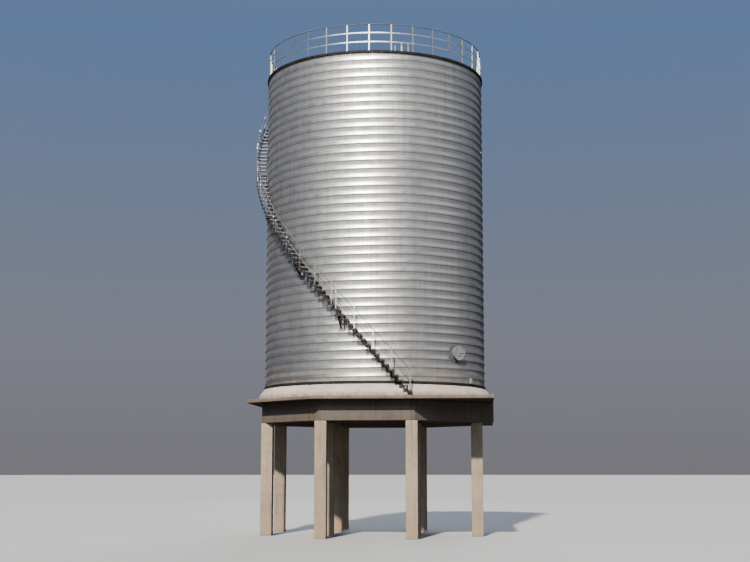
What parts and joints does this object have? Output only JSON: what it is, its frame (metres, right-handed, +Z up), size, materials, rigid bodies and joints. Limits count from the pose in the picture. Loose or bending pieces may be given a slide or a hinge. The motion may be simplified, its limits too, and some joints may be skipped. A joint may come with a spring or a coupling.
{
  "type": "grain silo",
  "caption": "Raised round steel grain silo with a low cone roof, rim railing and a wrap-round stair, on a concrete deck carried by square columns.",
  "frame": {"origin": "ground level at the feet of the columns, in the middle of the whole part's outline", "axes": "+Z up; +X along the row of silos, towards the deck's square end; -Y is the side with the stair foot"},
  "size_m": [10.69, 10.8298, 21.7],
  "materials": {
    "column_concrete": "cast, stained",
    "deck_concrete": "board-marked, stained",
    "curb_mortar": "trowelled, rough",
    "galvanised_sheet": "weathered galvanised sheet",
    "roof_sheet": "weathered galvanised sheet",
    "dark_steel": "weathered dark paint with rust",
    "pale_steel": "dull galvanised"
  },
  "bodies": {
    "root": {"column_front_left": "column_concrete", "column_front_right": "column_concrete", "column_rear_left": "column_concrete", "column_rear_right": "column_concrete", "column_left_front": "column_concrete", "column_left_rear": "column_concrete", "column_right_front": "column_concrete", "column_right_rear": "column_concrete", "column_inner_front_left": "column_concrete", "column_inner_front_right": "column_concrete", "column_inner_rear_left": "column_concrete", "column_inner_rear_right": "column_concrete", "ring_beam": "deck_concrete", "floor_beams": "deck_concrete", "deck_slab": "deck_concrete", "curb": "curb_mortar", "discharge_outlet": "dark_steel", "shell_segment_1": "galvanised_sheet", "shell_segment_2": "galvanised_sheet", "shell_segment_3": "galvanised_sheet", "shell_segment_4": "galvanised_sheet", "shell_segment_5": "galvanised_sheet", "shell_segment_6": "galvanised_sheet", "shell_segment_7": "galvanised_sheet", "shell_segment_8": "galvanised_sheet", "base_ring": "dark_steel", "eave_ring": "dark_steel", "roof_cone": "roof_sheet", "roof_crown": "dark_steel", "roof_vents": "pale_steel", "roof_railing_1": "pale_steel", "roof_railing_2": "pale_steel", "roof_railing_3": "pale_steel", "roof_railing_4": "pale_steel", "stair_flight_1": "dark_steel", "stair_handrail_1": "pale_steel", "stair_flight_2": "dark_steel", "stair_handrail_2": "pale_steel", "stair_flight_3": "dark_steel", "stair_handrail_3": "pale_steel", "stair_flight_4": "dark_steel", "stair_handrail_4": "pale_steel", "stair_landing": "dark_steel", "landing_rail": "pale_steel", "manhole_neck": "pale_steel", "manhole_cover": "pale_steel", "wall_stub": "pale_steel"}
  },
  "joints": []
}
